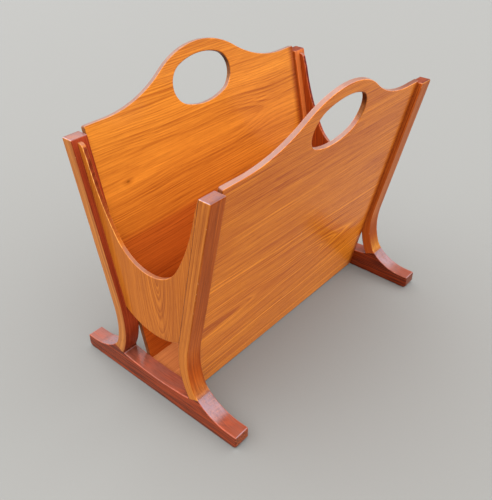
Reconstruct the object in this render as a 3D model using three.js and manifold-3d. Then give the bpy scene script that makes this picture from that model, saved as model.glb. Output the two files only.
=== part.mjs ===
// Magazine rack: two splayed side panels with handle holes stand between two end frames.
// Each end frame is a foot rail, two curved posts and a thin panel with a deep U cut.
// Millimetres. X is across the rack, Y along it, Z up; the origin is on the floor, at the middle.
import * as THREE from 'three';
import { mergeVertices } from 'three/addons/utils/BufferGeometryUtils.js';
import Module from 'manifold-3d';

const wasm = await Module();
wasm.setup();

// ---------- driving dimensions ----------
const gap = 0.3;                // clearance between neighbouring pieces
const arris = 1;                // chamfer on the long edges of every board
const rackLength = 461.5;       // over the outer faces of the two end frames
const frameWidth = 24.5;        // thickness of posts and foot rails, along Y
const lean = 0.2175;            // run over rise of posts and side panels
const leanAngle = Math.atan(lean);

// posts: the inner and outer faces are straight lines x = reach + lean * z above the waist
const postTop = 355.4;
const postInnerReach = 27.1;
const postOuterReach = 45;
const waistHeight = 93;         // the post stands upright here, then sweeps outwards
const innerRadiusAbove = 211;
const outerRadiusAbove = 147;
const innerRadiusBelow = 127;
const innerSweepBelow = THREE.MathUtils.degToRad(27);
const outerRadiusBelow = 110;
const outerSweepBelow = THREE.MathUtils.degToRad(20);
const heelRadius = 34;          // the quick turn of the outer face down to the joint
const jointSweep = THREE.MathUtils.degToRad(45);

// foot rails
const footSpan = 299;
const toeRadius = 74;           // hollow sweep from the joint down to the toe
const toeCorner = 6.5;          // rounded lower corner of the toe
const toeLip = 2;               // small round on the upper corner of the toe
const footMiddleHeight = 30;

// dowels between post and foot rail
const dowelRadius = 3;
const dowelLength = 24;
const dowelSpacing = 11;
const dowelTip = 0.6;
const pinSides = 12;

// side panels, in their own plane: v runs up the slope of the inner face from the floor
const sideThickness = 7.6;
const sideOuterReach = 38.3;    // the outer face is x = sideOuterReach + lean * z
const sideBottom = 3.5;
const crownRadius = 128;
const flareStart = 176;         // the top edge leaves the shoulder at this distance from the handle
const shoulderCorner = 3;
const handleHalfLength = 56;
const handleHalfHeight = 33.7;
const handleLongRadius = 105;

// The two boards were shaped by hand and differ a little: v of the top edge beside the posts,
// v of the top edge over the handle, v of the middle of the hole, and the hole's shift towards +Y.
const sideShapes = {
  right: { shoulder: 369, crown: 425.5, handle: 375.3, shift: 2.8 },
  left: { shoulder: 372.5, crown: 427, handle: 376.2, shift: 0.6 },
};

// tongues on the ends of the side panels, glued into grooves in the posts
const tongueThickness = 3;
const tongueDepth = 4.7;
const tongueFrom = 120;
const tongueTo = 345;

// end panels
const endThickness = 6;
const endSetOut = 1;            // from the middle of the posts, towards the end of the rack
const endGrooveDepth = 5;
const endBottom = 103.8;
const endBottomRadius = 88;
const endTop = 350.5;
const endTipRadius = 8;
const cutBottom = 203.8;
const cutRadius = 61;
const cutTurn = THREE.MathUtils.degToRad(60);
const cutSideRadius = 327;
const armWidth = 9.2;           // width of the arm beside the post, along X

// bottom board
const boardTop = 24.8;
const boardThickness = 7.6;
const boardHousing = 2.6;       // depth that its long edges sit in the side panels

// ---------- finishes ----------
const teak = (colour) => new THREE.MeshStandardMaterial({ color: colour, roughness: 0.38, metalness: 0 });
const postTeak = teak(0xb87338);
const footTeak = teak(0x7c3b20);
const sideTeak = teak(0xc9732f);
const endTeak = teak(0xc47f42);
const boardTeak = teak(0xc8784a);
const dowelBeech = new THREE.MeshStandardMaterial({ color: 0xd9b98a, roughness: 0.7, metalness: 0 });

// ---------- helpers ----------
const chordError = 0.08;        // how far a facet may stand off the true arc

// Points of an arc about (cx, cy); angles in radians, either way round.
function arc(cx, cy, radius, from, to) {
  const facet = 2 * Math.acos(1 - chordError / radius);
  const steps = Math.max(1, Math.ceil(Math.abs(to - from) / facet));
  return Array.from({ length: steps + 1 }, (_, i) => {
    const angle = from + ((to - from) * i) / steps;
    return new THREE.Vector2(cx + radius * Math.cos(angle), cy + radius * Math.sin(angle));
  });
}

const mirrored = (points) => points.map((p) => new THREE.Vector2(-p.x, p.y)).reverse();

// Drops points that coincide with the one before, so that every edge has a length.
function tidy(points) {
  return points.filter((p, i) => p.distanceTo(points[(i + points.length - 1) % points.length]) > 1e-3);
}

// A board of the given outline and thickness, centred on its own plane, with chamfered edges.
function board(outline, thickness, chamfer = arris, holes = []) {
  const shape = new THREE.Shape(tidy(outline));
  shape.holes = holes.map((hole) => new THREE.Path(tidy(hole)));
  const geometry = new THREE.ExtrudeGeometry(shape, {
    depth: thickness - 2 * chamfer,
    bevelEnabled: chamfer > 0,
    bevelThickness: chamfer,
    bevelSize: chamfer,
    bevelOffset: -chamfer,
    bevelSegments: 1,
  });
  return geometry.translate(0, 0, chamfer - thickness / 2);
}

// Turns a board drawn in X and Y so that it stands in X and Z, centred on Y = 0.
const standing = (geometry) => geometry.rotateX(Math.PI / 2);

function solid(geometry) {
  const bare = geometry.clone();
  bare.deleteAttribute('normal');
  bare.deleteAttribute('uv');
  const merged = mergeVertices(bare, 1e-4);
  return new wasm.Manifold(new wasm.Mesh({
    numProp: 3,
    vertProperties: Float32Array.from(merged.attributes.position.array),
    triVerts: Uint32Array.from(merged.index.array),
  }));
}

function surface(body) {
  const mesh = body.getMesh();
  const geometry = new THREE.BufferGeometry();
  geometry.setAttribute('position', new THREE.BufferAttribute(Float32Array.from(mesh.vertProperties), 3));
  geometry.setIndex(new THREE.BufferAttribute(Uint32Array.from(mesh.triVerts), 1));
  geometry.computeVertexNormals();
  return geometry;
}

function piece(name, geometry, material) {
  const mesh = new THREE.Mesh(geometry, material);
  mesh.name = name;
  return mesh;
}

// ---------- outline of an end frame, in X and Z ----------
// The right half, from the toe round to the middle of the rail; the left half mirrors it.
const waistX = (reach, radius) =>
  reach + lean * (waistHeight + radius * Math.sin(leanAngle)) - radius * (1 - Math.cos(leanAngle));
const innerWaist = waistX(postInnerReach, innerRadiusAbove);
const outerWaist = waistX(postOuterReach, outerRadiusAbove);

const innerJoint = new THREE.Vector2(
  innerWaist + innerRadiusBelow * (1 - Math.cos(innerSweepBelow)),
  waistHeight - innerRadiusBelow * Math.sin(innerSweepBelow),
);
const heelCentre = new THREE.Vector2(
  outerWaist + outerRadiusBelow - (outerRadiusBelow - heelRadius) * Math.cos(outerSweepBelow),
  waistHeight - (outerRadiusBelow - heelRadius) * Math.sin(outerSweepBelow),
);
const outerJoint = new THREE.Vector2(
  heelCentre.x - heelRadius * Math.cos(jointSweep),
  heelCentre.y - heelRadius * Math.sin(jointSweep),
);
const toeCentre = new THREE.Vector2(
  outerJoint.x + toeRadius * Math.cos(jointSweep),
  outerJoint.y + toeRadius * Math.sin(jointSweep),
);
const toeTop = toeCentre.y - toeRadius;

function frameOutline() {
  const half = footSpan / 2;
  const up = Math.PI - leanAngle;
  const dip = innerJoint.y - footMiddleHeight;
  const middleRadius = (innerJoint.x ** 2 + dip ** 2) / (2 * dip);
  const middleSweep = Math.asin(innerJoint.x / middleRadius);
  const right = [
    ...arc(half - toeCorner, toeCorner, toeCorner, -Math.PI / 2, 0),
    ...arc(half - toeLip, toeTop - toeLip, toeLip, 0, Math.PI / 2),
    ...arc(toeCentre.x, toeCentre.y, toeRadius, -Math.PI / 2, -Math.PI + jointSweep),
    ...arc(heelCentre.x, heelCentre.y, heelRadius, -Math.PI + jointSweep, -Math.PI + outerSweepBelow),
    ...arc(outerWaist + outerRadiusBelow, waistHeight, outerRadiusBelow, -Math.PI + outerSweepBelow, -Math.PI),
    ...arc(outerWaist + outerRadiusAbove, waistHeight, outerRadiusAbove, Math.PI, up),
    new THREE.Vector2(postOuterReach + lean * postTop, postTop),
    new THREE.Vector2(postInnerReach + lean * postTop, postTop),
    ...arc(innerWaist + innerRadiusAbove, waistHeight, innerRadiusAbove, up, Math.PI),
    ...arc(innerWaist + innerRadiusBelow, waistHeight, innerRadiusBelow, -Math.PI, -Math.PI + innerSweepBelow),
    ...arc(0, footMiddleHeight + middleRadius, middleRadius, middleSweep - Math.PI / 2, -Math.PI / 2),
  ];
  return [...right, ...mirrored(right)];
}

// Everything above the saw cut between post and foot rail, on the right, raised by lift.
function aboveJoint(lift) {
  const cut = outerJoint.clone().sub(innerJoint).normalize();
  const normal = new THREE.Vector2(-cut.y, cut.x).multiplyScalar(lift);
  const beyond = innerJoint.clone().addScaledVector(cut, 4 * frameWidth);
  const outline = [
    innerJoint.clone().add(normal),
    beyond.clone().add(normal),
    new THREE.Vector2(beyond.x, 2 * postTop),
    new THREE.Vector2(0, 2 * postTop),
    new THREE.Vector2(0, innerJoint.y + frameWidth),
  ];
  return solid(standing(board(outline, 2 * frameWidth, 0)));
}

// ---------- dowels ----------
const jointMiddle = innerJoint.clone().add(outerJoint).multiplyScalar(0.5);
const jointAngle = Math.atan2(outerJoint.y - innerJoint.y, outerJoint.x - innerJoint.x);

// A round pin across the joint on the given side (1 right, -1 left), y from the frame's middle.
function pin(side, y, radius, length, tip) {
  const profile = [
    new THREE.Vector2(0, -length / 2),
    new THREE.Vector2(radius - tip, -length / 2),
    new THREE.Vector2(radius, -length / 2 + tip),
    new THREE.Vector2(radius, length / 2 - tip),
    new THREE.Vector2(radius - tip, length / 2),
    new THREE.Vector2(0, length / 2),
  ];
  const geometry = new THREE.LatheGeometry(profile, pinSides);
  geometry.rotateX(Math.PI / 2);
  geometry.rotateY(-side * jointAngle);
  return geometry.translate(side * jointMiddle.x, y, jointMiddle.y);
}

const dowelRows = [-dowelSpacing / 2, dowelSpacing / 2];

function dowelHoles(side) {
  return dowelRows.map((y) => solid(pin(side, y, dowelRadius + gap, dowelLength + 2 * gap, dowelTip)));
}

// ---------- side panels ----------
// Local axes: X along the rack, Y up the slope, Z outwards; the plane of the inner face is Z = 0.
function sideOutline({ shoulder, crown }, shift) {
  const halfLength = (rackLength - 2 * frameWidth) / 2 - gap;
  const rise = crown - shoulder;
  const flareRadius = (flareStart ** 2 + rise ** 2) / (2 * rise) - crownRadius;
  const crownCentre = crown - crownRadius;
  const flareCentre = shoulder + flareRadius;
  const meet = Math.atan2(flareCentre - crownCentre, flareStart);
  const corner = halfLength - shoulderCorner;
  return [
    new THREE.Vector2(-halfLength, sideBottom),
    new THREE.Vector2(halfLength, sideBottom),
    ...arc(corner, shoulder - shoulderCorner, shoulderCorner, 0, Math.PI / 2),
    ...arc(shift + flareStart, flareCentre, flareRadius, -Math.PI / 2, meet - Math.PI),
    ...arc(shift, crownCentre, crownRadius, meet, Math.PI - meet),
    ...arc(shift - flareStart, flareCentre, flareRadius, -meet, -Math.PI / 2),
    ...arc(-corner, shoulder - shoulderCorner, shoulderCorner, Math.PI / 2, Math.PI),
  ];
}

// Oval hole of four arcs: two long ones and two at the ends, each running into the next.
function handleOutline(v, shift) {
  const reach = handleLongRadius - handleHalfHeight;
  const endRadius = (handleLongRadius ** 2 - handleHalfLength ** 2 - reach ** 2)
    / (2 * (handleLongRadius - handleHalfLength));
  const endCentre = handleHalfLength - endRadius;
  const turn = Math.atan2(reach, endCentre);
  return [
    ...arc(shift + endCentre, v, endRadius, -turn, turn),
    ...arc(shift, v - reach, handleLongRadius, turn, Math.PI - turn),
    ...arc(shift - endCentre, v, endRadius, Math.PI - turn, Math.PI + turn),
    ...arc(shift, v + reach, handleLongRadius, Math.PI + turn, 2 * Math.PI - turn),
  ];
}

// A bar along one end of a side panel: the tongue itself, or its groove when grown by play.
function tongueBar(endSign, play) {
  const inside = frameWidth / 2;
  const halfLength = rackLength / 2 - frameWidth;
  const length = inside + tongueDepth + play;
  const bar = new THREE.BoxGeometry(length, tongueTo - tongueFrom + 2 * play, tongueThickness + 2 * play);
  return bar.translate(
    endSign * (halfLength - inside + length / 2),
    (tongueFrom + tongueTo) / 2,
    sideThickness / 2,
  );
}

// Turns panel axes into rack axes for the right side: X to +Y, Y up the slope, Z outwards.
const innerReach = sideOuterReach - sideThickness / Math.cos(leanAngle);
const panelPlace = new THREE.Matrix4().makeBasis(
  new THREE.Vector3(0, 1, 0),
  new THREE.Vector3(Math.sin(leanAngle), 0, Math.cos(leanAngle)),
  new THREE.Vector3(Math.cos(leanAngle), 0, -Math.sin(leanAngle)),
).setPosition(innerReach, 0, 0);

// Section of the bottom board, or of its housing when grown by play, as points in X and Z.
function boardSection(play) {
  const top = boardTop + play;
  const bottom = boardTop - boardThickness - play;
  const edge = (z) => innerReach + lean * z + boardHousing + play;
  return [
    new THREE.Vector2(-edge(bottom), bottom),
    new THREE.Vector2(edge(bottom), bottom),
    new THREE.Vector2(edge(top), top),
    new THREE.Vector2(-edge(top), top),
  ];
}

function sidePanel(sideName, side) {
  const shape = sideShapes[sideName];
  const shift = side * shape.shift;
  const hole = handleOutline(shape.handle, shift);
  const outline = board(sideOutline(shape, shift), sideThickness, arris, [hole]);
  const panel = solid(outline.translate(0, 0, sideThickness / 2));
  const tongues = [-1, 1].map((endSign) => solid(tongueBar(endSign, 0)));
  const housing = standing(board(boardSection(gap), rackLength, 0)).applyMatrix4(panelPlace.clone().invert());
  const body = tongues.reduce((sum, tongue) => sum.add(tongue), panel).subtract(solid(housing));
  const mesh = piece(`side_panel_${sideName}`, surface(body), sideTeak);
  const turn = side > 0 ? 0 : Math.PI;
  mesh.applyMatrix4(new THREE.Matrix4().makeRotationZ(turn).multiply(panelPlace));
  return mesh;
}

// ---------- end panels ----------
function endPanelOutline() {
  const edge = (z) => postInnerReach + lean * z + endGrooveDepth;
  const bottomCentre = endBottom + endBottomRadius;
  const bottomSweep = Math.asin(edge(endBottom) / endBottomRadius);
  const cutCentre = cutBottom + cutRadius;
  const sideCentre = new THREE.Vector2(
    (cutRadius - cutSideRadius) * Math.sin(cutTurn),
    cutCentre - (cutRadius - cutSideRadius) * Math.cos(cutTurn),
  );
  const tipInner = postInnerReach + lean * endTop - armWidth;
  const bottomArc = arc(0, bottomCentre, endBottomRadius, -Math.PI / 2, bottomSweep - Math.PI / 2);
  const corner = bottomArc[bottomArc.length - 1];
  const right = [
    ...bottomArc,
    new THREE.Vector2(edge(corner.y), corner.y),
    new THREE.Vector2(edge(endTop), endTop),
    ...arc(tipInner + endTipRadius, endTop - endTipRadius, endTipRadius, Math.PI / 2, Math.PI - leanAngle),
    ...arc(sideCentre.x, sideCentre.y, cutSideRadius, -leanAngle, cutTurn - Math.PI / 2),
    ...arc(0, cutCentre, cutRadius, cutTurn - Math.PI / 2, -Math.PI / 2),
  ];
  return [...right, ...mirrored(right)];
}

// The groove for an end panel in the inner face of a right-hand post.
function endGroove() {
  const edge = (z) => postInnerReach + lean * z + endGrooveDepth + gap;
  const lowest = endBottom + endBottomRadius * (1 - Math.cos(Math.asin(innerWaist / endBottomRadius))) - gap;
  const highest = endTop + gap;
  const outline = [
    new THREE.Vector2(edge(lowest) - frameWidth, lowest),
    new THREE.Vector2(edge(lowest), lowest),
    new THREE.Vector2(edge(highest), highest),
    new THREE.Vector2(edge(highest) - frameWidth, highest),
  ];
  return standing(board(outline, endThickness + 2 * gap, 0)).translate(0, -endSetOut, 0);
}

// ---------- end frames ----------
// A cutter made for the right-hand side, carried to the given side.
const onSide = (body, side) => (side > 0 ? body : body.mirror([1, 0, 0]));

// Builds the front frame about Y = 0, its back face towards +Y; names carry the end and the side.
function endFrame(end, sideNames) {
  const frame = new THREE.Group();
  const whole = solid(standing(board(frameOutline(), frameWidth)));
  const tongueGroove = solid(
    tongueBar(-1, gap).applyMatrix4(panelPlace).translate(0, rackLength / 2 - frameWidth / 2, 0),
  );
  const panelGroove = solid(endGroove());
  let foot = whole;
  for (const side of [1, -1]) {
    const sideName = sideNames[side];
    foot = foot.subtract(onSide(aboveJoint(0), side));
    let post = whole.intersect(onSide(aboveJoint(gap), side));
    post = post.subtract(onSide(tongueGroove, side)).subtract(onSide(panelGroove, side));
    for (const hole of dowelHoles(side)) {
      foot = foot.subtract(hole);
      post = post.subtract(hole);
    }
    frame.add(piece(`post_${end}_${sideName}`, surface(post), postTeak));
    dowelRows.forEach((y, i) => {
      const dowel = pin(side, y, dowelRadius, dowelLength, dowelTip);
      frame.add(piece(`dowel_${end}_${sideName}_${i + 1}`, dowel, dowelBeech));
    });
  }
  frame.add(piece(`foot_rail_${end}`, surface(foot), footTeak));
  const endPanel = standing(board(endPanelOutline(), endThickness)).translate(0, -endSetOut, 0);
  frame.add(piece(`end_panel_${end}`, endPanel, endTeak));
  return frame;
}

// ---------- assembly ----------
const rack = new THREE.Group();

const front = endFrame('front', { 1: 'right', '-1': 'left' });
front.position.y = -(rackLength - frameWidth) / 2;
const back = endFrame('back', { 1: 'left', '-1': 'right' });
back.rotation.z = Math.PI;
back.position.y = (rackLength - frameWidth) / 2;
rack.add(front, back);

rack.add(sidePanel('right', 1), sidePanel('left', -1));

const boardLength = rackLength - 2 * frameWidth - 2 * gap;
rack.add(piece('bottom_board', standing(board(boardSection(0), boardLength, 0)), boardTeak));

export default rack;
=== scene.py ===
"""Looks of the teak magazine rack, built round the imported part. Outlines are in millimetres."""
import math

import bmesh
import bpy
from mathutils import Matrix, Vector, noise
from mathutils.geometry import tessellate_polygon


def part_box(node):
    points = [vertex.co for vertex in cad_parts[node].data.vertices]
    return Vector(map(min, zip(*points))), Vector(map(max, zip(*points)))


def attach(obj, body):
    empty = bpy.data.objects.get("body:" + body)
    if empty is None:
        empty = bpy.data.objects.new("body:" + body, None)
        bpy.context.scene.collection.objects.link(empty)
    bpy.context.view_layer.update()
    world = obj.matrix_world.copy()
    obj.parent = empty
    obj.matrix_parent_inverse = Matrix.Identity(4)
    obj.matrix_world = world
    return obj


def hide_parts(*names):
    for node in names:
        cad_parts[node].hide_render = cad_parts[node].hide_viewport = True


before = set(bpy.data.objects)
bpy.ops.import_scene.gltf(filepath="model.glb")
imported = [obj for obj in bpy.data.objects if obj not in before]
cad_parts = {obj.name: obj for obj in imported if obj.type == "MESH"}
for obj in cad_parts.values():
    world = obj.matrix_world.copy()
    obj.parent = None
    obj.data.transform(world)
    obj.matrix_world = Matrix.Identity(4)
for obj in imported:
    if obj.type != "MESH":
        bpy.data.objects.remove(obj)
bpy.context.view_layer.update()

MM = 0.001


def add_object(name, data):
    obj = bpy.data.objects.new(name, data)
    bpy.context.scene.collection.objects.link(obj)
    return obj


# ---------- camera, in metres ----------
CAMERA_AT = (0.4950, -0.6075, 0.6728)
CAMERA_RIGHT = Vector((0.75737, 0.65298, -0.00436))
CAMERA_FORWARD = Vector((-0.53628, 0.61818, -0.57468))
SENSOR_WIDTH, FOCAL_LENGTH, NEAREST = 36, 45.07, 0.05


def add_camera():
    data = bpy.data.cameras.new("camera")
    data.sensor_width = SENSOR_WIDTH
    data.lens = FOCAL_LENGTH
    data.clip_start = NEAREST
    obj = add_object("camera", data)
    up = CAMERA_RIGHT.cross(CAMERA_FORWARD)
    turn = Matrix((CAMERA_RIGHT, up, -CAMERA_FORWARD)).transposed().to_4x4()
    obj.matrix_world = Matrix.Translation(CAMERA_AT) @ turn
    bpy.context.scene.camera = obj


# ---------- sizes, the same as the CAD model's ----------
LEAN = 0.2175
LEAN_ANGLE = math.atan(LEAN)
SIN, COS = math.sin(LEAN_ANGLE), math.cos(LEAN_ANGLE)
RACK_LENGTH = 461.5
FRAME_WIDTH = 24.5
FRAME_MIDDLE = (RACK_LENGTH - FRAME_WIDTH) / 2
HALF_INSIDE = RACK_LENGTH / 2 - FRAME_WIDTH
GAP = 0.3

POST_TOP = 355.4
POST_INNER, POST_OUTER = 27.1, 45.0
WAIST = 93
FOOT_SPAN = 299
TOE_RADIUS = 74
FOOT_MIDDLE = 30

SIDE_THICKNESS = 7.6
SIDE_OUTER = 38.3
SIDE_INNER = SIDE_OUTER - SIDE_THICKNESS / COS
SIDE_BOTTOM = 3.5
SIDE_SHAPES = {
    "right": dict(shoulder=369, crown=425.5, handle=375.3, shift=2.8),
    "left": dict(shoulder=372.5, crown=427, handle=376.2, shift=0.6),
}

END_THICKNESS, END_SET_OUT = 6, 1
BOARD_THICKNESS = 7.6

# ---------- how fine the pieces are ----------
STEP, HOLE_STEP = 4, 2
RING_STEPS = 5
POST_ARRIS, SIDE_ARRIS, END_ARRIS, BOARD_ARRIS = 1.8, 1.7, 1.4, 1.3
CORNER_MORE = 0.1  # by this a corner's radius exceeds the long edges'
BOARD_CORNER = 1.5
WEAR_CYCLES = 0.03  # per millimetre
WEAR_MOST = 0.25


# ---------- outlines ----------
def arc(cx, cy, radius, start, end, chord_error=0.01):
    facet = 2 * math.acos(1 - chord_error / radius)
    steps = max(2, math.ceil(abs(end - start) / facet))
    angles = [start + (end - start) * i / steps for i in range(steps + 1)]
    return [Vector((cx + radius * math.cos(a), cy + radius * math.sin(a))) for a in angles]


def tidy(points):
    """The closed outline without repeated points."""
    return [p for i, p in enumerate(points) if (p - points[i - 1]).length > 1e-3]


def mirrored(points):
    return [Vector((-p.x, p.y)) for p in reversed(points)]


def rounded(points, radius, least_turn=0.35):
    """The closed outline with an arc in place of each corner sharper than least_turn."""
    points = tidy(points)
    out = []
    for i, p in enumerate(points):
        before = (p - points[i - 1]).normalized()
        after = (points[(i + 1) % len(points)] - p).normalized()
        turn = math.atan2(before.x * after.y - before.y * after.x, before.dot(after))
        if abs(turn) < least_turn:
            out.append(p)
            continue
        reach = radius * math.tan(abs(turn) / 2)
        start = p - before * reach
        side = Vector((-before.y, before.x)) * math.copysign(1, turn)
        centre = start + side * radius
        first = math.atan2(start.y - centre.y, start.x - centre.x)
        out += arc(centre.x, centre.y, radius, first, first + turn, chord_error=0.02)
    return tidy(out)


def divided(points, step):
    """The closed outline with points added so that none are further apart than step."""
    out = []
    for i, p in enumerate(points):
        q = points[(i + 1) % len(points)]
        parts = max(1, math.ceil((q - p).length / step))
        out += [p.lerp(q, k / parts) for k in range(parts)]
    return out


def eased(points, corner):
    """The closed outline, ready for a piece."""
    return divided(rounded(points, corner), STEP)


# ---------- pieces with rounded edges ----------
def extruded(loops, thickness, arris, place):
    """Vertices, normals, edge weights and faces of loops extruded by thickness.

    The first loop is the outline, anticlockwise; the rest are holes, clockwise. The long edges
    are rounded to the radius arris, which wear makes smaller here and there."""
    verts, normals, edges, faces = [], [], [], []
    half = thickness / 2
    rings = [(-1, -90 + 90 * k / RING_STEPS) for k in range(RING_STEPS + 1)]
    rings += [(1, 90 * k / RING_STEPS) for k in range(RING_STEPS + 1)]
    size = len(rings)
    caps = []
    for loop in loops:
        count = len(loop)
        base = len(verts)
        for i, p in enumerate(loop):
            a = (p - loop[i - 1]).normalized()
            b = (loop[(i + 1) % count] - p).normalized()
            along = (a + b).normalized()
            out = Vector((along.y, -along.x))
            wear = noise.noise(Vector((p.x * WEAR_CYCLES, p.y * WEAR_CYCLES, thickness)))
            radius = arris * (1 - WEAR_MOST * min(1, max(0, 0.5 + wear)))
            for sign, degrees in rings:
                phi = math.radians(degrees)
                sin, cos = math.sin(phi), math.cos(phi)
                spot = p - out * radius * (1 - cos)
                height = sign * (half - radius) + radius * sin
                verts.append(Vector((spot.x, spot.y, height)))
                normals.append(Vector((out.x * cos, out.y * cos, sin)))
                edges.append(abs(math.sin(2 * phi)))
        for i in range(count):
            here, there = base + i * size, base + (i + 1) % count * size
            faces += [(here + k, there + k, there + k + 1, here + k + 1) for k in range(size - 1)]
        caps.append([base + i * size for i in range(count)])
    for ring, sign in ((0, -1), (size - 1, 1)):
        index = [v + ring for cap in caps for v in cap]
        flat = [[verts[v + ring].xy.to_3d() for v in cap] for cap in caps]
        for a, b, c in tessellate_polygon(flat):
            a, b, c = index[a], index[b], index[c]
            area = (verts[b] - verts[a]).xy.cross((verts[c] - verts[a]).xy)
            if abs(area) > 1e-9:
                faces.append((a, b, c) if area * sign > 0 else (a, c, b))
    spin = place.to_3x3().normalized()
    return [place @ v for v in verts], [spin @ n for n in normals], edges, faces


def add_piece(node, loops, thickness, arris, place, cuts=(), mirror=0):
    """The fine piece that stands for a CAD node, in metres. cuts are the arguments of cut_off, and
    mirror is the sign for mirror_x."""
    verts, normals, edges, faces = extruded(loops, thickness, arris, place)
    mesh = bpy.data.meshes.new(node + "_fine")
    mesh.from_pydata([v * MM for v in verts], [], faces)
    direction = mesh.attributes.new("direction", "FLOAT_VECTOR", "POINT")
    direction.data.foreach_set("vector", [x for n in normals for x in n])
    weight = mesh.attributes.new("arris", "FLOAT", "POINT")
    weight.data.foreach_set("value", edges)
    if cuts or mirror:
        bm = bmesh.new()
        bm.from_mesh(mesh)
        for point, normal, beyond in cuts:
            cut_off(bm, point, normal, beyond)
        if mirror:
            mirror_x(bm, mirror)
        bm.to_mesh(mesh)
        bm.free()
    mesh.shade_smooth()
    flat = [0.0] * (3 * len(mesh.vertices))
    mesh.attributes["direction"].data.foreach_get("vector", flat)
    mesh.normals_split_custom_set_from_vertices(
        [Vector(flat[i:i + 3]) for i in range(0, len(flat), 3)])
    mesh.attributes.remove(mesh.attributes["direction"])
    return add_object(node + "_fine", mesh)


def cut_off(bm, point, normal, beyond):
    """Cuts off what lies beyond a plane. Where beyond isn't 0, only what has a larger X than it
    is cut, or a smaller X where it is negative."""
    if beyond:
        everything = bm.verts[:] + bm.edges[:] + bm.faces[:]
        bmesh.ops.bisect_plane(bm, geom=everything, plane_co=(beyond, 0, 0), plane_no=(1, 0, 0))
    sign = math.copysign(1, beyond)
    faces = [f for f in bm.faces if f.calc_center_median().x * sign > beyond * sign or not beyond]
    edges = {e for f in faces for e in f.edges}
    verts = {v for f in faces for v in f.verts}
    cut = bmesh.ops.bisect_plane(bm, geom=[*verts, *edges, *faces], plane_co=point, plane_no=normal,
                                 clear_outer=True)
    rim = [e for e in cut["geom_cut"] if isinstance(e, bmesh.types.BMEdge)]
    bmesh.ops.holes_fill(bm, edges=rim, sides=0)


def mirror_x(bm, sign):
    """Keeps the side of X that sign names and puts a mirrored copy of it on the other side."""
    layer = bm.verts.layers.float_vector["direction"]
    everything = bm.verts[:] + bm.edges[:] + bm.faces[:]
    bmesh.ops.bisect_plane(bm, geom=everything, plane_co=(0, 0, 0), plane_no=(-sign, 0, 0),
                           clear_outer=True)
    copy = bmesh.ops.duplicate(bm, geom=bm.verts[:] + bm.edges[:] + bm.faces[:])["geom"]
    for vert in (g for g in copy if isinstance(g, bmesh.types.BMVert)):
        vert.co.x = -vert.co.x
        direction = vert[layer].copy()
        direction.x = -direction.x
        vert[layer] = direction
    bmesh.ops.reverse_faces(bm, faces=[g for g in copy if isinstance(g, bmesh.types.BMFace)])
    middle = [v for v in bm.verts if abs(v.co.x) < 1e-7]
    bmesh.ops.remove_doubles(bm, verts=middle, dist=1e-6)


# ---------- end frames ----------
def frame_curves():
    """The curved lines of the right half of an end frame, its two joint points, and the height of
    its toe."""
    inner_above, outer_above = 211, 147
    inner_below, inner_sweep = 127, math.radians(27)
    outer_below, outer_sweep = 110, math.radians(20)
    heel, joint_sweep = 34, math.radians(45)

    def waist_x(reach, radius):
        return reach + LEAN * (WAIST + radius * SIN) - radius * (1 - COS)

    inner = waist_x(POST_INNER, inner_above)
    outer = waist_x(POST_OUTER, outer_above)
    inner_joint = Vector((inner + inner_below * (1 - math.cos(inner_sweep)),
                          WAIST - inner_below * math.sin(inner_sweep)))
    heel_at = Vector((outer + outer_below - (outer_below - heel) * math.cos(outer_sweep),
                      WAIST - (outer_below - heel) * math.sin(outer_sweep)))
    outwards = Vector((math.cos(joint_sweep), math.sin(joint_sweep)))
    outer_joint = heel_at - heel * outwards
    toe_at = outer_joint + TOE_RADIUS * outwards
    up = math.pi - LEAN_ANGLE
    post_outside = (
        arc(heel_at.x, heel_at.y, heel, -math.pi + joint_sweep, -math.pi + outer_sweep)
        + arc(outer + outer_below, WAIST, outer_below, -math.pi + outer_sweep, -math.pi)
        + arc(outer + outer_above, WAIST, outer_above, math.pi, up))
    post_inside = (
        arc(inner + inner_above, WAIST, inner_above, up, math.pi)
        + arc(inner + inner_below, WAIST, inner_below, -math.pi, -math.pi + inner_sweep))
    toe_curve = arc(toe_at.x, toe_at.y, TOE_RADIUS, -math.pi / 2, -math.pi + joint_sweep)
    return post_outside, post_inside, toe_curve, inner_joint, outer_joint, toe_at.y - TOE_RADIUS


OUTSIDE, INSIDE, TOE_CURVE, INNER_JOINT, OUTER_JOINT, TOE_TOP = frame_curves()
# a post and its foot rail are drawn past their joint by a stub, then cut
STUB = 7
INNER_STUB = (INSIDE[-1] - INSIDE[-2]).normalized() * STUB
OUTER_STUB = (OUTSIDE[0] - OUTSIDE[1]).normalized() * STUB
TOE_STUB = Vector((-1, 1)).normalized() * STUB


def standing(end, set_out=0):
    """Places a shape drawn in X and Z as an end frame's; end is -1 at the front and 1 at the back."""
    turn = Matrix.Rotation(math.pi if end > 0 else 0, 4, "Z")
    upright = Matrix.Rotation(math.pi / 2, 4, "X")
    return turn @ Matrix.Translation((0, -FRAME_MIDDLE - set_out, 0)) @ upright


def joint_cut(side, end, lift, sign):
    """The saw cut between post and foot rail, for cut_off. A sign of -1 cuts off what is below it,
    and 1 what is above it, outside the joint."""
    cut = (OUTER_JOINT - INNER_JOINT).normalized()
    normal = Vector((-cut.y, cut.x))
    point = INNER_JOINT + normal * lift
    side_of_x = side * -end
    return (Vector((side_of_x * point.x, 0, point.y)) * MM,
            Vector((side_of_x * normal.x, 0, normal.y)) * sign,
            side_of_x * INNER_JOINT.x * MM if sign > 0 else 0)


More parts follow.
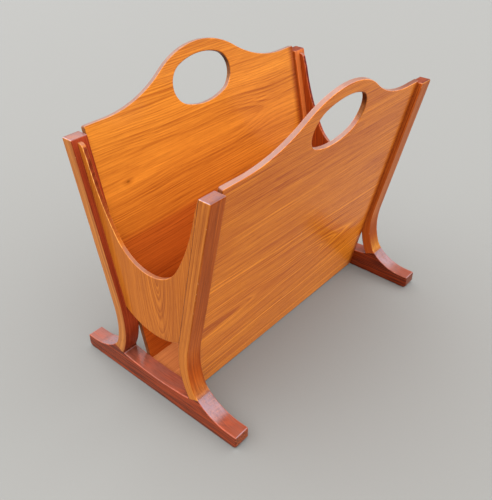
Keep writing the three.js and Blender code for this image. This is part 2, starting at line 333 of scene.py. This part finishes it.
def post(node, end, side):
    """side is 1 or -1 before the back frame is turned round."""
    top = [Vector((reach + LEAN * POST_TOP, POST_TOP)) for reach in (POST_OUTER, POST_INNER)]
    outline = [OUTSIDE[0] + OUTER_STUB, *OUTSIDE, *top, *INSIDE, INNER_JOINT + INNER_STUB]
    if side < 0:
        outline = mirrored(outline)
    return add_piece(node, [eased(outline, POST_ARRIS + CORNER_MORE)], FRAME_WIDTH, POST_ARRIS,
                     standing(end), cuts=[joint_cut(side, end, GAP / 3, -1)])


def foot_rail(node, end):
    """Its right half, and then a mirrored copy."""
    half = FOOT_SPAN / 2
    dip = INNER_JOINT.y - FOOT_MIDDLE
    radius = (INNER_JOINT.x ** 2 + dip ** 2) / (2 * dip)
    sweep = math.asin(INNER_JOINT.x / radius)
    past_middle = sweep / 4
    corner, lip = 6.5, 2
    hollow = arc(0, FOOT_MIDDLE + radius, radius, sweep - math.pi / 2, -math.pi / 2 - past_middle)
    outline = [
        *arc(half - corner, corner, corner, -math.pi / 2, 0),
        *arc(half - lip, TOE_TOP - lip, lip, 0, math.pi / 2),
        *TOE_CURVE,
        OUTER_JOINT + TOE_STUB,
        INNER_JOINT - INNER_STUB,
        INNER_JOINT,
        *hollow,
        Vector((hollow[-1].x, 0)),
    ]
    return add_piece(node, [eased(outline, POST_ARRIS + CORNER_MORE)], FRAME_WIDTH, POST_ARRIS,
                     standing(end), cuts=[joint_cut(1, end, 0, 1)], mirror=-end)


# ---------- end panels ----------
def end_panel(node, end):
    bottom, bottom_radius, top = 103.8, 88, 350.5
    cut_bottom, cut_radius, cut_turn, side_radius = 203.8, 61, math.radians(60), 327
    depth_in_post, arm, tip = 5, 9.2, 8

    def edge(z):
        return POST_INNER + LEAN * z + depth_in_post

    low = arc(0, bottom + bottom_radius, bottom_radius, -math.pi / 2,
              math.asin(edge(bottom) / bottom_radius) - math.pi / 2)
    cut_centre = cut_bottom + cut_radius
    side_at = Vector(((cut_radius - side_radius) * math.sin(cut_turn),
                      cut_centre - (cut_radius - side_radius) * math.cos(cut_turn)))
    tip_x = POST_INNER + LEAN * top - arm
    right = [
        *low,
        Vector((edge(low[-1].y), low[-1].y)),
        Vector((edge(top), top)),
        *arc(tip_x + tip, top - tip, tip, math.pi / 2, math.pi - LEAN_ANGLE),
        *arc(side_at.x, side_at.y, side_radius, -LEAN_ANGLE, cut_turn - math.pi / 2),
        *arc(0, cut_centre, cut_radius, cut_turn - math.pi / 2, -math.pi / 2),
    ]
    outline = eased(tidy(right + mirrored(right)), END_ARRIS + CORNER_MORE)
    return add_piece(node, [outline], END_THICKNESS, END_ARRIS, standing(end, END_SET_OUT))


# ---------- side panels and bottom board ----------
def side_outline(shape, shift):
    crown_radius, flare, corner = 128, 176, 3
    shoulder, crown = shape["shoulder"], shape["crown"]
    half = HALF_INSIDE - GAP
    rise = crown - shoulder
    flare_radius = (flare ** 2 + rise ** 2) / (2 * rise) - crown_radius
    meet = math.atan2(shoulder + flare_radius - crown + crown_radius, flare)
    right = math.pi / 2
    return [
        Vector((-half, SIDE_BOTTOM)),
        Vector((half, SIDE_BOTTOM)),
        *arc(half - corner, shoulder - corner, corner, 0, right),
        *arc(shift + flare, shoulder + flare_radius, flare_radius, -right, meet - math.pi),
        *arc(shift, crown - crown_radius, crown_radius, meet, math.pi - meet),
        *arc(shift - flare, shoulder + flare_radius, flare_radius, -meet, -right),
        *arc(corner - half, shoulder - corner, corner, right, math.pi),
    ]


def handle_outline(v, shift):
    half_length, half_height, long_radius = 56, 33.7, 105
    reach = long_radius - half_height
    end_radius = (long_radius ** 2 - half_length ** 2 - reach ** 2) / (2 * (long_radius - half_length))
    end_at = half_length - end_radius
    turn = math.atan2(reach, end_at)
    return tidy([
        *arc(shift + end_at, v, end_radius, -turn, turn),
        *arc(shift, v - reach, long_radius, turn, math.pi - turn),
        *arc(shift - end_at, v, end_radius, math.pi - turn, math.pi + turn),
        *arc(shift, v + reach, long_radius, math.pi + turn, 2 * math.pi - turn),
    ])


def side_panel(node, side):
    """side is 1 for the right panel and -1 for the left one, which is drawn turned round."""
    shape = SIDE_SHAPES["right" if side > 0 else "left"]
    shift = side * shape["shift"]
    outline = eased(side_outline(shape, shift), SIDE_ARRIS + CORNER_MORE)
    hole = list(reversed(divided(handle_outline(shape["handle"], shift), HOLE_STEP)))
    lie = Matrix(((0, SIN, COS), (1, 0, 0), (0, COS, -SIN))).to_4x4()
    turn = Matrix.Rotation(0 if side > 0 else math.pi, 4, "Z")
    place = turn @ Matrix.Translation((SIDE_INNER, 0, 0)) @ lie
    place = place @ Matrix.Translation((0, 0, SIDE_THICKNESS / 2))
    return add_piece(node, [outline, hole], SIDE_THICKNESS, SIDE_ARRIS, place)


def bottom_board(node):
    low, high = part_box(node)
    x, y = high.x / MM, high.y / MM
    outline = [Vector((-x, -y)), Vector((x, -y)), Vector((x, y)), Vector((-x, y))]
    place = Matrix.Translation((0, 0, (low.z + high.z) / 2 / MM))
    return add_piece(node, [eased(outline, BOARD_CORNER)], BOARD_THICKNESS, BOARD_ARRIS, place)


# ---------- nodes ----------
class Nodes:
    """Short ways of adding nodes to the tree of a material or the world."""

    def __init__(self, tree):
        self.tree = tree
        self.coordinates = self.add("ShaderNodeTexCoord").outputs

    def give(self, node, inputs):
        """Links the node's inputs, or sets those whose value is a constant."""
        for key, value in inputs.items():
            if isinstance(value, bpy.types.NodeSocket):
                self.tree.links.new(value, node.inputs[key])
            else:
                node.inputs[key].default_value = value

    def add(self, kind, inputs=None, **settings):
        node = self.tree.nodes.new(kind)
        for key, value in settings.items():
            setattr(node, key, value)
        self.give(node, inputs or {})
        return node

    def math(self, operation, a, b=0.0, c=0.0, clamp=False):
        node = self.add("ShaderNodeMath", {0: a, 1: b, 2: c}, operation=operation, use_clamp=clamp)
        return node.outputs[0]

    def swing(self, value, reach, rest):
        """The rest, moved to both sides by a value of about 0 to 1, times reach."""
        return self.math("MULTIPLY_ADD", self.math("SUBTRACT", value, 0.5), reach, rest)

    def ramp(self, value, low, high, to_low=0.0, to_high=1.0, smooth=False):
        inputs = {"Value": value, "From Min": low, "From Max": high, "To Min": to_low, "To Max": to_high}
        kind = "SMOOTHSTEP" if smooth else "LINEAR"
        return self.add("ShaderNodeMapRange", inputs, interpolation_type=kind).outputs[0]

    def vector_math(self, operation, inputs, output="Vector"):
        node = self.add("ShaderNodeVectorMath", dict(enumerate(inputs)), operation=operation)
        return node.outputs[output]

    def stretch(self, vector, scale):
        return self.vector_math("MULTIPLY", (vector, scale))

    def plus(self, a, b):
        return self.vector_math("ADD", (a, b))

    def dot(self, a, b):
        return self.vector_math("DOT_PRODUCT", (a, b), "Value")

    def length(self, vector):
        return self.vector_math("LENGTH", (vector,), "Value")

    def part(self, vector, axis):
        return self.add("ShaderNodeSeparateXYZ", {0: vector}).outputs[axis]

    def only(self, axis, value):
        """A vector that is 0 along the other axes."""
        return self.add("ShaderNodeCombineXYZ", {axis: value}).outputs[0]

    def facing(self, direction, low, high):
        """0 to 1 where the cosine between the face's normal and the direction is low to high."""
        return self.ramp(self.dot(self.coordinates["Normal"], direction), low, high, smooth=True)

    def noise(self, vector, across, along, detail=2, rough=0.5, output="Fac"):
        """Noise, about 0 to 1, with so many cycles per unit in X and Y, and in Z."""
        inputs = {"Vector": self.stretch(vector, (across, across, along)), "Scale": 1.0,
                  "Detail": detail, "Roughness": rough}
        return self.add("ShaderNodeTexNoise", inputs).outputs[output]

    def mix(self, factor, a, b, blend="MIX"):
        node = self.add("ShaderNodeMix", {0: factor, 6: a, 7: b}, data_type="RGBA", blend_type=blend)
        return node.outputs[2]

    def times(self, factor, colour, tint):
        """The colour, multiplied by the tint as far as factor says."""
        return self.mix(factor, colour, (*tint, 1), "MULTIPLY")

    def colours(self, value, stops):
        node = self.add("ShaderNodeValToRGB", {0: value})
        elements = node.color_ramp.elements
        while len(elements) < len(stops):
            elements.new(0.5)
        for element, (place, colour) in zip(elements, stops):
            element.position = place
            element.color = colour
        return node.outputs[0]

    def surface(self, colour, roughness, height, strength, distance):
        """Joins colour, roughness and a bump to the material's shader, which it returns."""
        bump = self.add("ShaderNodeBump", {"Height": height, "Strength": strength, "Distance": distance})
        shader = self.tree.nodes["Principled BSDF"]
        self.give(shader, {"Base Color": colour, "Roughness": roughness, "Normal": bump.outputs[0]})
        return shader


def new_material(name):
    material = bpy.data.materials.new(name)
    material.use_nodes = True
    return material, Nodes(material.node_tree)


def srgb(red, green, blue):
    def linear(c):
        c /= 255
        return c / 12.92 if c <= 0.04045 else ((c + 0.055) / 1.055) ** 2.4
    return (linear(red), linear(green), linear(blue), 1.0)


def shaded(colour, factor):
    return tuple(c * factor for c in colour[:3]) + (1.0,)


# ---------- teak ----------
BOW_START, BOW_DIVISOR = 125, 265  # height where a post's grain starts to bow, and twice its radius
TIP_ROUND = 4
RING_UNEVEN_CYCLES, RING_UNEVEN_REACH = 0.09, 6
# noise in the wood: cycles per millimetre across and along the grain, detail, roughness
BENDS = (((0.009, 0.005), 16), ((0.05, 0.018), 3))  # with how far each moves the grain
BROAD = (0.022, 0.0022)
STREAKS = (0.13, 0.003, 2, 0.55)
LINES = (0.5, 0.005, 2, 0.6)
FINE = (0.95, 0.016, 2, 0.6)
FIBRES = (2.6, 0.06, 2, 0.6)
PORES = (1.7, 0.09, 1)
PITH_DEPTH = (0, 0.006, 0)
RING_STRENGTH = (0.035, 0.005, 1)
# patches of the painted sheen on faces that look up
SHEEN_PATCHES = (0.12, 0.03, 3)
# where the edges' painted highlight and shade, and their wear, show
EDGE_WEAR_AND_LIGHT = (0.1, 0.1, 3)
SCUFFS = (0.3, 0.12, 3, 0.7)
SCUFF_COLOUR = (206, 160, 118)
ROUGHNESS, SPECULAR, COAT_ROUGHNESS = 0.36, 0.05, 0.14


def grain_space(n, axes, bow):
    """Millimetres across, through and along the grain."""
    place = n.coordinates["Object"]
    turned = n.add("ShaderNodeMapping", {"Vector": place, "Rotation": Matrix(axes).to_euler(),
                                         "Scale": (1 / MM,) * 3}).outputs[0]
    if not bow:
        return turned
    drop = n.math("MAXIMUM", n.math("MULTIPLY_ADD", n.part(place, "Z"), -1 / MM, BOW_START), 0.0)
    aside = n.math("MULTIPLY", n.math("MULTIPLY", drop, drop), -bow / BOW_DIVISOR)
    return n.plus(turned, n.only("X", aside))


def wavering(n, own, wave):
    """How far the grain is moved across and through the board."""
    moves = []
    for cycles, reach in BENDS:
        colour = n.noise(own, *cycles, 1, output="Color")
        moves.append(n.stretch(n.plus(colour, (-0.5, -0.5, -0.5)), (wave * reach, wave * reach, 0)))
    return n.plus(*moves)


def growth_rings(n, grain, shift, pith, tilt, swell, peak, spacing):
    """The dark late wood and the pale early wood of the rings round the pith, each 0 to 1."""
    along = n.part(grain, "Z")
    slow = n.noise(n.only("Z", along), *PITH_DEPTH)
    depth = n.swing(slow, 2 * swell, n.math("MULTIPLY", along, tilt))
    offset = n.plus(n.plus(grain, shift), (-pith[0], -pith[1], 0))
    aside, under = n.part(offset, "X"), n.math("ADD", n.part(offset, "Y"), depth)
    beside = n.math("SQRT", n.math("MULTIPLY_ADD", aside, aside, TIP_ROUND ** 2))
    beside = n.math("ADD", beside, peak)
    radius = n.math("SQRT", n.math("MULTIPLY_ADD", beside, beside, n.math("MULTIPLY", under, under)))
    uneven = n.noise(n.only("X", n.math("MULTIPLY", radius, RING_UNEVEN_CYCLES)), 1, 1)
    uneven = n.math("MULTIPLY", uneven, RING_UNEVEN_REACH)
    phase = n.math("FRACT", n.math("MULTIPLY_ADD", radius, 1 / spacing, uneven))
    late = n.math("MULTIPLY", n.ramp(phase, 0.35, 0.85, smooth=True),
                  n.ramp(phase, 0.88, 0.96, 1.0, 0.0, smooth=True))
    early = n.math("MULTIPLY", n.ramp(phase, 0.0, 0.08), n.ramp(phase, 0.16, 0.32, 1.0, 0.0))
    return late, early


def teak(name, axes, seed, dark, light, pith, tilt=0.0, swell=0.0, peak=0, spacing=3.5, ring=0.3,
         glint=0.15, fade=None, streak=0.6, wave=0.5, bow=0, knot=None, shades=(), shade_side=None,
         end_shade=None, top_sheen=None, top_sheen_end=None, sheen_range=(0.65, 0.95), facing_light=(),
         arris_up=(1.15, 1.15, 1.2), arris_side=0.7, coat=0.25):
    """Varnished teak. Lengths are in millimetres and colours are sRGB numbers.

    axes are the directions across, through and along the grain, and seed moves the noise. pith is
    where the growth rings' centre passes, across and through. Along the grain its depth drifts by
    tilt and comes and goes by swell. peak sharpens the tips of the figure that this draws, and
    spacing is from ring to ring. ring and glint are the strengths of the rings' dark and pale
    lines, which weaken over fade, a span across the grain. streak and wave are the strengths of
    the streaks and of the grain's bends. bow is 1 or -1 on a piece whose grain follows a post's
    lower curve. knot is a place across and along.

    The rest change the colour, mostly as (from, to, factors). shades multiply it below a place
    across the grain, on the faces that look along shade_side: painted shade, and painted light
    where the factors are above 1. end_shade multiplies it towards the far end: painted shade by the
    joints with the posts. top_sheen is the pale colour of faces that look up, a painted sheen of the
    sky's reflection, patchy between the least and most in sheen_range, with factors for its far end
    in top_sheen_end. facing_light multiplies the colour of faces that look along a direction, which
    comes first: painted light and shade. arris_up and arris_side multiply that of the long edges:
    a painted highlight with pale wear where they look up, painted shade with old polish where they
    don't. coat is the varnish."""
    material, n = new_material(name)
    grain = grain_space(n, axes, bow)
    own = n.plus(grain, seed)
    shift = wavering(n, own, wave)
    warped = n.plus(own, shift)
    across = n.math("SUBTRACT", n.part(warped, "X"), seed[0])
    along = n.part(grain, "Z")

    late, early = growth_rings(n, grain, shift, pith, tilt, swell, peak, spacing)
    strength = n.ramp(n.noise(warped, *RING_STRENGTH), 0.3, 0.7, 0.2, 1.0)
    if fade:
        strength = n.math("MULTIPLY", strength, n.ramp(across, *fade, 1.0, 0.45, smooth=True))
    # streaks and fibres, long along the grain
    broad = n.noise(warped, *BROAD)
    fine = n.noise(n.plus(own, n.stretch(shift, (0.7, 0.7, 0))), *FINE)
    fibre = n.noise(own, *FIBRES)
    pores = n.ramp(n.noise(own, *PORES), 0.6, 0.7)
    tone = n.swing(broad, 0.5, 0.52)
    tone = n.swing(n.noise(warped, *STREAKS), streak * 0.3, tone)
    tone = n.swing(n.noise(warped, *LINES), streak * 1.9, tone)
    tone = n.swing(fine, streak * 1.6, tone)
    tone = n.swing(fibre, 0.25, tone)
    tone = n.math("MULTIPLY_ADD", n.math("MULTIPLY", late, strength), -ring, tone)
    tone = n.math("MULTIPLY_ADD", n.math("MULTIPLY", early, strength), glint, tone)
    tone = n.math("ADD", tone, ring * 0.2 - glint * 0.1, clamp=True)
    dark, light = srgb(*dark), srgb(*light)
    between = tuple(0.5 * (a + b) for a, b in zip(dark, light))
    colour = n.colours(tone, [(0.0, shaded(dark, 0.7)), (0.3, dark), (0.52, between), (0.76, light),
                              (1.0, shaded(light, 1.2))])

    if knot:
        place = n.stretch(n.plus(grain, (-knot[0], 0, -knot[1])), (1, 0, 0.5))
        away = n.swing(fine, 3, n.length(place))
        colour = n.times(n.ramp(away, 1.5, 7, 0.45, 0.0, smooth=True), colour, (0.5, 0.35, 0.3))
        colour = n.times(n.ramp(away, 0.5, 2.4, 0.6, 0.0, smooth=True), colour, (0.25, 0.15, 0.15))
    # painted shade, and painted light where the factors are above 1, below a place across the grain
    for low, high, factors in shades:
        covered = n.ramp(across, low, high, 1.0, 0.0, smooth=True)
        if shade_side:
            covered = n.math("MULTIPLY", covered, n.facing(shade_side, -0.3, 0.6))
        colour = n.times(covered, colour, factors)
    # painted shade: darker towards the far end, where the panels meet the posts
    if end_shade:
        low, high, factors = end_shade
        colour = n.times(n.ramp(along, low, high, smooth=True), colour, factors)
    # painted sheen: faces that look up take the pale colour of the sky's reflection, in patches, dimmed
    # towards the far end by top_sheen_end
    if top_sheen:
        low, high, pale = top_sheen
        patchy_sheen = n.ramp(n.noise(own, *SHEEN_PATCHES), 0.3, 0.7, *sheen_range)
        upward = n.facing(UP, low, high)
        colour = n.mix(n.math("MULTIPLY", upward, patchy_sheen), colour, srgb(*pale))
        if top_sheen_end:
            low, high, factors = top_sheen_end
            far = n.ramp(along, low, high, smooth=True)
            colour = n.times(n.math("MULTIPLY", upward, far), colour, factors)
    # painted light and shade: faces that look along each direction are multiplied by its factors
    for direction, low, high, factors in facing_light:
        colour = n.times(n.facing(direction, low, high), colour, factors)
    colour = n.times(n.math("MULTIPLY", pores, 0.3), colour, (0.5, 0.42, 0.35))

    # the long edges: where they look up a painted highlight with pale rubbed wear, and where they don't
    # painted shade with dark old polish
    edge = n.add("ShaderNodeAttribute", attribute_name="arris").outputs["Fac"]
    edge = n.math("MULTIPLY", edge, n.ramp(n.noise(own, *EDGE_WEAR_AND_LIGHT), 0.35, 0.62, 0.45, 1.0))
    shade_and_polish = (arris_side, arris_side * 0.9, arris_side * 0.8)
    edge_colour = n.mix(n.facing(UP, 0.3, 0.6), n.times(1.0, colour, shade_and_polish),
                        n.times(1.0, colour, arris_up))
    colour = n.mix(edge, colour, edge_colour)
    scuffs = n.math("MULTIPLY", edge, n.ramp(n.noise(own, *SCUFFS), 0.62, 0.68))
    colour = n.mix(n.math("MULTIPLY", scuffs, 0.5), colour, srgb(*SCUFF_COLOUR))

    roughness = n.swing(fine, 0.16, n.swing(broad, 0.14, ROUGHNESS))
    roughness = n.math("MULTIPLY_ADD", edge, -0.08, roughness)
    roughness = n.math("MULTIPLY_ADD", pores, 0.15, roughness)
    height = n.math("MULTIPLY_ADD", fine, 0.5, n.math("MULTIPLY", fibre, 0.35))
    height = n.math("MULTIPLY_ADD", pores, -0.6, height)
    shader = n.surface(colour, roughness, height, 0.35, 0.0001)
    n.give(shader, {"Specular IOR Level": SPECULAR, "Coat Weight": coat,
                    "Coat Roughness": COAT_ROUGHNESS})
    return material


# ---------- the wood of each piece ----------
LEFT, RIGHT, FRONT, UP = (-1, 0, 0), (1, 0, 0), (0, -1, 0), (0, 0, 1)
RIGHT_PANEL = ((SIN, 0, COS), (COS, 0, -SIN), (0, 1, 0))
LEFT_PANEL = ((-SIN, 0, COS), (COS, 0, SIN), (0, 1, 0))
RIGHT_POST = ((COS, 0, -SIN), (0, 1, 0), (SIN, 0, COS))
LEFT_POST = ((COS, 0, SIN), (0, 1, 0), (-SIN, 0, COS))
UPRIGHT = ((1, 0, 0), (0, 1, 0), (0, 0, 1))
ALONG_FOOT = ((0, 1, 0), (0, 0, 1), (1, 0, 0))
ALONG_BOARD = ((1, 0, 0), (0, 0, -1), (0, 1, 0))

# painted light and shade on the side panels: darker by the posts, darker on faces in the handle hole
# that look down and on faces that look to the front, redder on faces that look left, and a painted
# highlight on the edges that look up
SIDE_WOOD = dict(
    swell=5, end_shade=(189, 204, (0.45, 0.24, 0.3)), sheen_range=(0.85, 0.97), arris_up=(1.3, 1.45, 1.7),
    facing_light=[((0, -0.6, -0.8), 0.6, 0.9, (0.4, 0.35, 0.5)), (FRONT, 0.5, 0.9, (0.4, 0.45, 1.4)),
           (LEFT, 0.5, 0.9, (1.02, 0.86, 0.9))])
# painted sheen on the feet: the pale top_sheen, paler sweeps and toe ends, and a painted highlight on
# the edges that look up
FOOT_WOOD = dict(
    spacing=3, ring=0.6, glint=0.15, streak=1.2, coat=0.35, sheen_range=(0.5, 0.95),
    top_sheen=(0.3, 0.7, (117, 61, 46)), arris_up=(1.9, 2.1, 2.2),
    facing_light=[((0.55, 0, 0.83), 0.93, 0.99, (1.2, 2.6, 4.8)),
           ((-0.55, 0, 0.83), 0.9, 0.97, (1.2, 2.7, 5)), (RIGHT, 0.8, 0.97, (1.0, 1.4, 1.8))])
# painted light and shade on the end panels: the pale top_sheen on faces that look up, a painted
# highlight on the edges that look up and on the front right arris, and the arms' inner edges darker
END_WOOD = dict(
    swell=2, peak=6, spacing=3.2, ring=0.3, glint=0.25, wave=0.3, streak=0.28,
    top_sheen=(0.5, 0.85, (116, 71, 50)), arris_up=(1.5, 1.9, 2.6),
    facing_light=[(RIGHT, 0.8, 0.97, (0.4, 0.21, 0.7)), ((0.7, -0.7, 0.15), 0.9, 0.98, (1.9, 3, 7))])
# a painted highlight on the posts' edges that look up, and painted shade with old polish on the others
POST_WOOD = dict(
    ring=0.2, wave=0.15, streak=0.4, coat=0.15, arris_up=(1.7, 2.8, 4.5), arris_side=0.8)
# each end's colours, dark and light, the factors of the painted sheen where its posts' lower curve looks
# up, and the painted sheen colour of its posts' tops. The back end's darker, redder colours are partly
# painted shade of the rack's inside.
ENDS = {
    "front": dict(side_of_y=-1, seed=0, foot=((79, 28, 8), (136, 50, 14)),
                  panel=((143, 71, 18), (178, 100, 29)), post=((139, 71, 24), (183, 107, 38)),
                  post_curve_sheen=(1.05, 1.6, 3.5), post_top_sheen=(106, 75, 75)),
    "back": dict(side_of_y=1, seed=90, foot=((69, 20, 4), (117, 40, 8)),
                 panel=((124, 46, 14), (158, 68, 20)), post=((137, 56, 17), (180, 86, 28)),
                 post_curve_sheen=(1.4, 2.6, 3.6), post_top_sheen=(88, 39, 29)),
}
# the factors for each post's right and left faces: painted light and shade, the inner faces darker
OUTER_FACE_LIGHT, INNER_FACE_SHADE = (1.07, 0.82, 0.65), (0.67, 0.32, 0.68)
POST_FACE_LIGHT = {
    "front_right": (OUTER_FACE_LIGHT, (1.8, 1.3, 2.1)), "front_left": (INNER_FACE_SHADE, OUTER_FACE_LIGHT),
    "back_right": ((1.05, 1.35, 1.4), INNER_FACE_SHADE), "back_left": ((1.2, 1.6, 2.5), OUTER_FACE_LIGHT),
}


def post_wood(end, side):
    look = ENDS[end]
    side_of_x = 1 if side == "right" else -1
    right_face, left_face = POST_FACE_LIGHT[f"{end}_{side}"]
    sweep = (0.75 * side_of_x, 0, 0.66)
    inner_arris = (-0.7 * side_of_x, 0.7 * look["side_of_y"], 0)
    # painted light and shade: each face's factors, darker where the lower curve half looks up, the
    # painted sheen where it looks up most, and painted shade with old polish along the arris between the
    # end face and the inner face
    facing_light = [(RIGHT, 0.5, 0.9, right_face), (LEFT, 0.5, 0.9, left_face),
             (sweep, 0.6, 0.8, (0.65, 0.5, 0.36)), (sweep, 0.85, 0.99, look["post_curve_sheen"]),
             (inner_arris, 0.8, 0.95, (0.75, 0.5, 0.45))]
    shades = []
    # painted sheen on the front left post's front face; on the front right post, painted shade of the
    # crevice by the end panel, with old polish, along its inner arris
    if (end, side) == ("front", "left"):
        facing_light.append((FRONT, 0.5, 0.9, (1.0, 1.15, 1.7)))
    if (end, side) == ("front", "right"):
        shades.append((27.8, 29, (0.34, 0.22, 0.27)))
    return teak(f"teak_post_{end}_{side}", RIGHT_POST if side == "right" else LEFT_POST,
                (530 + look["seed"], 110 + len(side) * 40, 20), *look["post"],
                pith=(-side_of_x * 200, look["side_of_y"] * FRAME_MIDDLE), bow=side_of_x,
                top_sheen=(0.5, 0.9, look["post_top_sheen"]), shades=shades, facing_light=facing_light, **POST_WOOD)


def materials():
    """The wood of each piece, by the name of its CAD node."""
    made = {
        # painted shade on the left panel's inner face: darker below a sharp line where the right panel
        # shades it and hides the bright reflection, and darker towards the bottom
        "side_panel_left": teak(
            "teak_side_left", LEFT_PANEL, (310, 170, 40), (147, 76, 22), (203, 126, 40),
            pith=(305, -95), tilt=0.03, peak=12, spacing=3.3, ring=0.18, glint=0.05, streak=0.26,
            wave=0.4, knot=(291, -165), top_sheen=(0.5, 0.85, (107, 78, 68)), shade_side=RIGHT,
            shades=[(213, 226, (0.82, 0.62, 0.75)), (60, 380, (0.88, 0.64, 0.5))], **SIDE_WOOD),
        # painted light on the right panel: lighter lower down, and its top edge's painted sheen dimmer
        # towards the back
        "side_panel_right": teak(
            "teak_side_right", RIGHT_PANEL, (50, 820, 390), (160, 74, 15), (204, 118, 32),
            pith=(140, -30), tilt=0.065, peak=25, spacing=3.7, ring=0.2, glint=0.42, streak=0.42,
            fade=(190, 250), coat=0.34, top_sheen=(0.5, 0.85, (120, 88, 77)),
            top_sheen_end=(130, 180, (0.6, 0.4, 0.3)), shades=[(120, 300, (1.09, 1.12, 1.1))],
            **SIDE_WOOD),
        "bottom_board": teak(
            "teak_board", ALONG_BOARD, (770, 60, 20), (128, 67, 30), (174, 102, 54),
            pith=(-90, 30), streak=0.3, ring=0.1, glint=0),
    }
    for end, look in ENDS.items():
        side_of_y, seed = look["side_of_y"], look["seed"]
        middle_y = side_of_y * FRAME_MIDDLE
        made[f"foot_rail_{end}"] = teak(
            f"teak_foot_{end}", ALONG_FOOT, (700 + seed, 220, 30), *look["foot"],
            pith=(middle_y + 5, -120), **FOOT_WOOD)
        made[f"end_panel_{end}"] = teak(
            f"teak_end_{end}", UPRIGHT, (310 + seed, 40, 90), *look["panel"],
            pith=(16, middle_y + side_of_y * 55), tilt=side_of_y * 0.22, **END_WOOD)
        for side in ("left", "right"):
            made[f"post_{end}_{side}"] = post_wood(end, side)
    return made


def plain(name, colour, roughness, cycles, spread):
    """A colour with specks: cycles to the metre, and the share by which they are paler or darker."""
    material, n = new_material(name)
    speck = n.noise(n.coordinates["Object"], cycles, cycles, 4, 0.6)
    colour = srgb(*colour)
    tone = n.mix(n.ramp(speck, 0.3, 0.7), shaded(colour, 1 - spread), shaded(colour, 1 + spread))
    n.surface(tone, n.ramp(speck, 0.3, 0.7, roughness - 0.08, roughness + 0.08), speck, 0.2, 0.0002)
    return material


# ---------- stage ----------
FLOOR_REACH = 12  # metres
SKY_STRENGTH = 4.3
SKY = [(0.0, (0.16, 0.165, 0.17, 1)), (0.30, (0.22, 0.225, 0.23, 1)),
       (0.46, (0.86, 0.88, 0.92, 1)), (1.0, (0.93, 0.96, 1.0, 1))]
SCREEN_TOWARDS = (-0.38, 0.87, 0.31)
SCREEN_EDGE = (0.86, 0.96)
SCREEN_LIGHT = 0.15


def add_stage():
    reach = FLOOR_REACH
    mesh = bpy.data.meshes.new("floor")
    corners = [(-reach, -reach, 0), (reach, -reach, 0), (reach, reach, 0), (-reach, reach, 0)]
    mesh.from_pydata(corners, [], [(0, 1, 2, 3)])
    mesh.materials.append(plain("floor_grey", (108, 106, 101), 0.85, 300, 0.02))
    add_object("floor", mesh)


def add_light():
    """A soft dome, dark near the floor and behind a dark screen."""
    world = bpy.data.worlds.new("sky")
    bpy.context.scene.world = world
    world.use_nodes = True
    world.node_tree.nodes.clear()
    n = Nodes(world.node_tree)
    direction = n.coordinates["Generated"]
    screen = n.ramp(n.dot(direction, SCREEN_TOWARDS), *SCREEN_EDGE, 1.0, SCREEN_LIGHT, smooth=True)
    background = n.add("ShaderNodeBackground", {
        "Color": n.colours(n.part(direction, "Z"), SKY),
        "Strength": n.math("MULTIPLY", screen, SKY_STRENGTH)})
    n.add("ShaderNodeOutputWorld", {0: background.outputs[0]})


# ---------- scene ----------
add_camera()

pieces = {}
for end, end_name in ((-1, "front"), (1, "back")):
    pieces[f"foot_rail_{end_name}"] = foot_rail(f"foot_rail_{end_name}", end)
    pieces[f"end_panel_{end_name}"] = end_panel(f"end_panel_{end_name}", end)
    for side in (1, -1):
        node = f"post_{end_name}_" + ("right" if side * -end > 0 else "left")
        pieces[node] = post(node, end, side)
pieces["side_panel_right"] = side_panel("side_panel_right", 1)
pieces["side_panel_left"] = side_panel("side_panel_left", -1)
pieces["bottom_board"] = bottom_board("bottom_board")

wood = materials()
for node, piece in pieces.items():
    piece.data.materials.append(wood[node])
    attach(piece, "root")
    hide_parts(node)

beech = plain("beech", (205, 176, 128), 0.6, 900, 0.06)
for name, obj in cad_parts.items():
    if name.startswith("dowel"):
        obj.data.materials.clear()
        obj.data.materials.append(beech)

add_stage()
add_light()
bpy.context.scene.view_settings.view_transform = "Standard"
